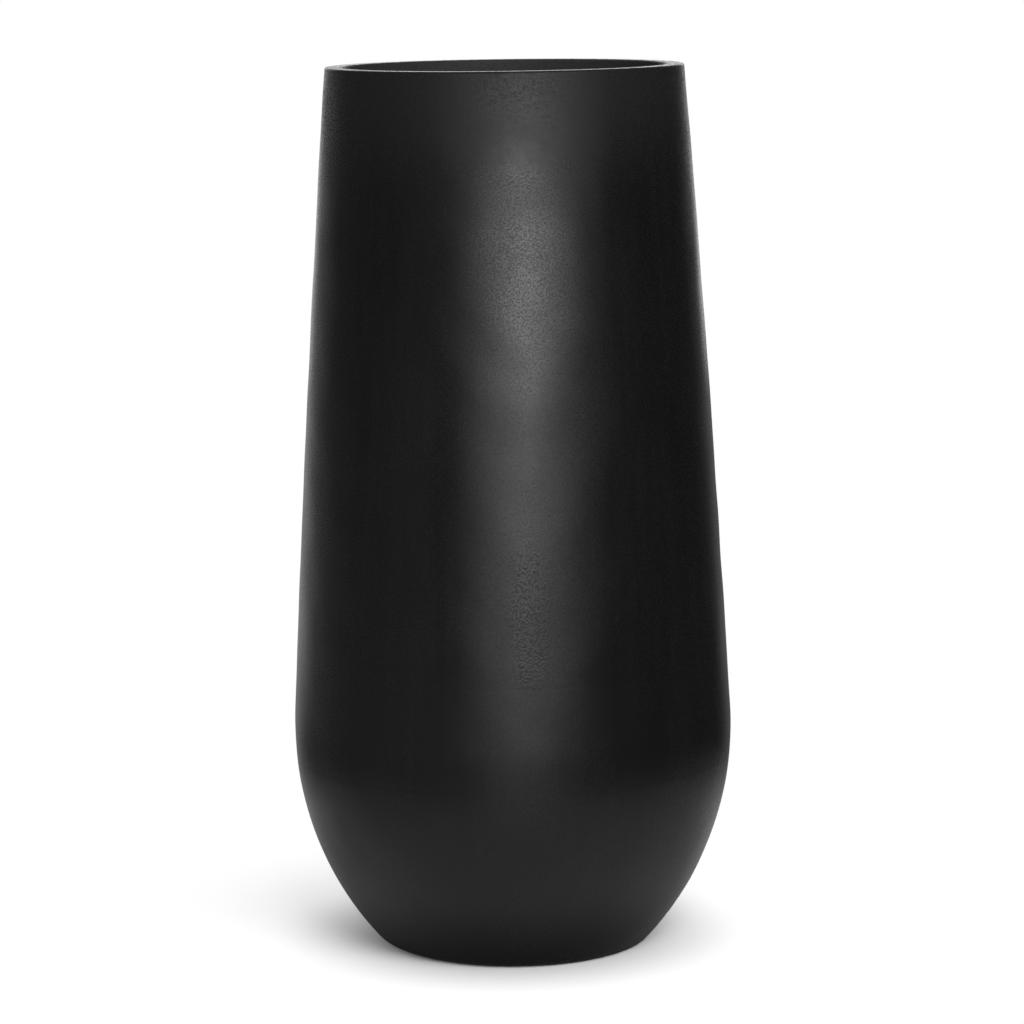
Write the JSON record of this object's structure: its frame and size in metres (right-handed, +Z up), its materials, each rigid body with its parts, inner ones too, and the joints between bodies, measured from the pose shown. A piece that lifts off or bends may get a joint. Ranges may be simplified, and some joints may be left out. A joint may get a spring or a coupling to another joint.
{
  "type": "tall floor planter",
  "caption": "Tall round floor planter with a swelling lower body, a narrower mouth with a turned-in lip, a stiffened base and a rubber drain plug.",
  "frame": {"origin": "centre of the foot ring, on the floor that the planter stands on", "axes": "+Z up along the vessel's axis, towards the mouth; the vessel is round, so X and Y are free"},
  "size_m": [0.5, 0.5, 1],
  "materials": {
    "shell_finish": "hand-rubbed waxy matt black on a finely pebbled moulded skin",
    "bare_laminate": "brushed-out laminate, painted dull black",
    "foam_core": "cut rigid foam, dull",
    "board_coat": "resin-coated board, dull",
    "plug_rubber": "moulded rubber, dull"
  },
  "bodies": {
    "vessel": {"upper_shell": "shell_finish", "lower_shell": "shell_finish", "joint_band": "bare_laminate", "rim_core": "foam_core", "base_board": "board_coat"},
    "plug": {"drain_plug": "plug_rubber"}
  },
  "joints": [
    {"name": "plug_pull", "type": "slide", "parent": "vessel", "child": "plug", "axis": [0, 0, -1], "range_m": [0, 0.04]}
  ]
}
